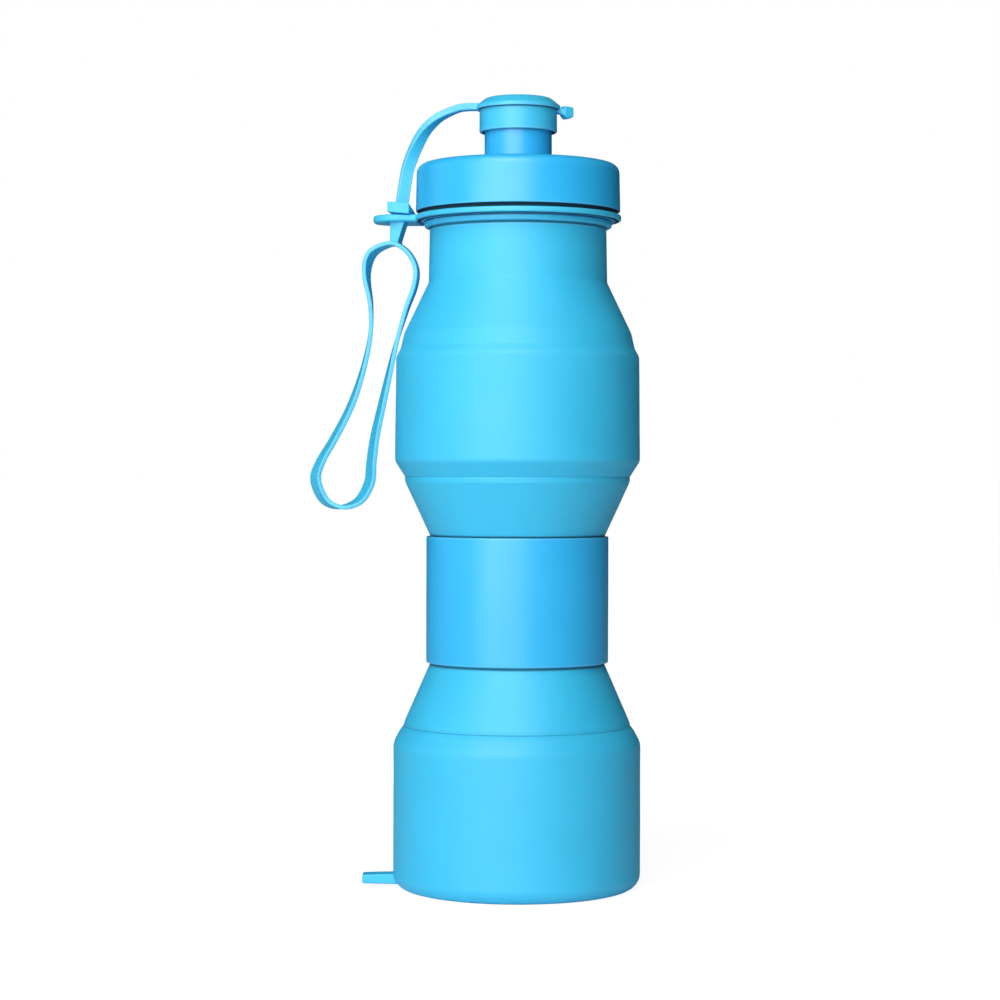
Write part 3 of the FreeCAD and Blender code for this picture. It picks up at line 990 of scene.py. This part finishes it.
def pull_lug():
    """The cap's lug in two pieces: a flat neck, and a knob turned a little to the front."""
    knob_turn, knob_middle = math.radians(28), (14.7, 0, 0)
    neck = [(11.2, 236.8), (12.6, 236.6), (14.4, 235.9), (14.4, 233.9), (12.4, 234.7), (11.2, 235.0)]
    knob = [(13.2, 237.0), (16.3, 236.7), (16.4, 234.0), (15.6, 233.4), (14.2, 233.1), (13.1, 234.0)]
    pieces = [
        prism("cap_lug_neck", neck, -1.7, 1.7, STRAP, edge=0.35),
        prism("cap_lug_knob", knob, -1.6, 1.6, STRAP, edge=0.45, turn=knob_turn, about=knob_middle),
    ]
    for piece in pieces:
        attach(piece, "cap")


# ---------------------------------------------------------------- nodes kept as they are

def hidden_nodes():
    """The pieces inside keep their CAD shape and get their own materials."""
    for node, material in (("waist_tube", SILICONE), ("neck_insert", INSERT), ("lid_gasket", GASKET)):
        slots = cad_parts[node].data.materials
        slots.clear()
        slots.append(material)


# ---------------------------------------------------------------- studio

def studio_floor():
    """A pale floor. Seen directly it melts into the white backdrop, and other rays meet light blue paper."""
    level, reach = -0.02, 60000
    material = bpy.data.materials.new("studio_white")
    material.use_nodes = True
    tree = material.node_tree
    tree.nodes.clear()
    link = tree.links.new
    output = tree.nodes.new("ShaderNodeOutputMaterial")
    path = tree.nodes.new("ShaderNodeLightPath")
    place = tree.nodes.new("ShaderNodeTexCoord")
    distance = tree.nodes.new("ShaderNodeVectorMath")
    distance.operation = "LENGTH"
    link(place.outputs["Object"], distance.inputs[0])
    brightness = mapped(tree, distance.outputs["Value"], (0.06, 0.5), 0.93, 1.0)
    glow = node_in(tree, "ShaderNodeEmission", Color=(1, 1, 1, 1))
    link(brightness, glow.inputs["Strength"])
    paper = node_in(tree, "ShaderNodeBsdfDiffuse", Color=(0.20, 0.20, 0.20, 1))
    seen = tree.nodes.new("ShaderNodeAddShader")
    link(glow.outputs[0], seen.inputs[0])
    link(paper.outputs[0], seen.inputs[1])
    reflector = node_in(tree, "ShaderNodeBsdfDiffuse", Color=(0.72, 0.86, 0.90, 1))
    mix = tree.nodes.new("ShaderNodeMixShader")
    link(path.outputs["Is Camera Ray"], mix.inputs[0])
    link(reflector.outputs[0], mix.inputs[1])
    link(seen.outputs[0], mix.inputs[2])
    link(mix.outputs[0], output.inputs["Surface"])
    rim = [(Vector((0, level)), 0.0), (Vector((reach, level)), 0.0)]
    floor = turned("studio_floor", rim, material, segments=96)


def area_light(name, place, size, power):
    """A soft rectangular white light at a place in metres, aimed at the bottle's middle."""
    data = bpy.data.lights.new(name, "AREA")
    data.shape = "RECTANGLE"
    data.size, data.size_y = size
    data.energy = power
    light = bpy.data.objects.new(name, data)
    light.location = place
    aim = Vector((0, 0, 0.12))
    light.rotation_euler = (aim - light.location).to_track_quat("-Z", "Y").to_euler()
    bpy.context.scene.collection.objects.link(light)


def studio_lights():
    """Large soft lights from the front and the left, and a white backdrop that hardly lights anything."""
    area_light("front_key", (-0.18, -1.15, 0.75), (1.0, 0.5), 6.2)
    area_light("top_soft", (-0.28, -0.80, 1.15), (0.9, 0.7), 8.8)
    area_light("low_front", (-0.32, -1.40, 0.32), (1.2, 0.6), 6.8)
    area_light("left_fill", (-0.90, -1.10, 0.32), (0.6, 0.6), 3.3)
    area_light("left_rim", (-1.30, 0.15, 0.45), (0.8, 0.8), 1.0)
    world = bpy.data.worlds.new("studio_world")
    bpy.context.scene.world = world
    world.use_nodes = True
    tree = world.node_tree
    tree.nodes.clear()
    output = tree.nodes.new("ShaderNodeOutputWorld")
    path = tree.nodes.new("ShaderNodeLightPath")
    seen = node_in(tree, "ShaderNodeBackground", Color=(1, 1, 1, 1), Strength=1.0)
    lighting = node_in(tree, "ShaderNodeBackground", Color=(0.50, 0.80, 1.0, 1), Strength=0.01)
    mix = tree.nodes.new("ShaderNodeMixShader")
    tree.links.new(path.outputs["Is Camera Ray"], mix.inputs[0])
    tree.links.new(lighting.outputs[0], mix.inputs[1])
    tree.links.new(seen.outputs[0], mix.inputs[2])
    tree.links.new(mix.outputs[0], output.inputs["Surface"])


def studio_camera():
    """The viewpoint: level with the barrel's lower edge, 0.79 m in front, and rolled by a hair."""
    aside, away, roll = -0.0053, -0.79, math.radians(0.12)
    data = bpy.data.cameras.new("camera")
    data.sensor_width = 36.0
    data.lens = 93.6
    camera = bpy.data.objects.new("camera", data)
    camera.location = (aside, away, 0.1258)
    aim = Vector((aside, 0, 0.1176))
    level = (aim - camera.location).to_track_quat("-Z", "Y")
    camera.rotation_euler = (level @ Quaternion(UP, roll)).to_euler()
    bpy.context.scene.collection.objects.link(camera)
    bpy.context.scene.camera = camera


silicone_body()
grip_collar()
screw_lid()
lid_thread()
strap_ring()
strap_anchor()
strap_neck()
carry_loop()
cap_tether()
spout_cap()
pull_lug()
hidden_nodes()
studio_floor()
studio_lights()
studio_camera()
bpy.context.scene.view_settings.view_transform = "Standard"
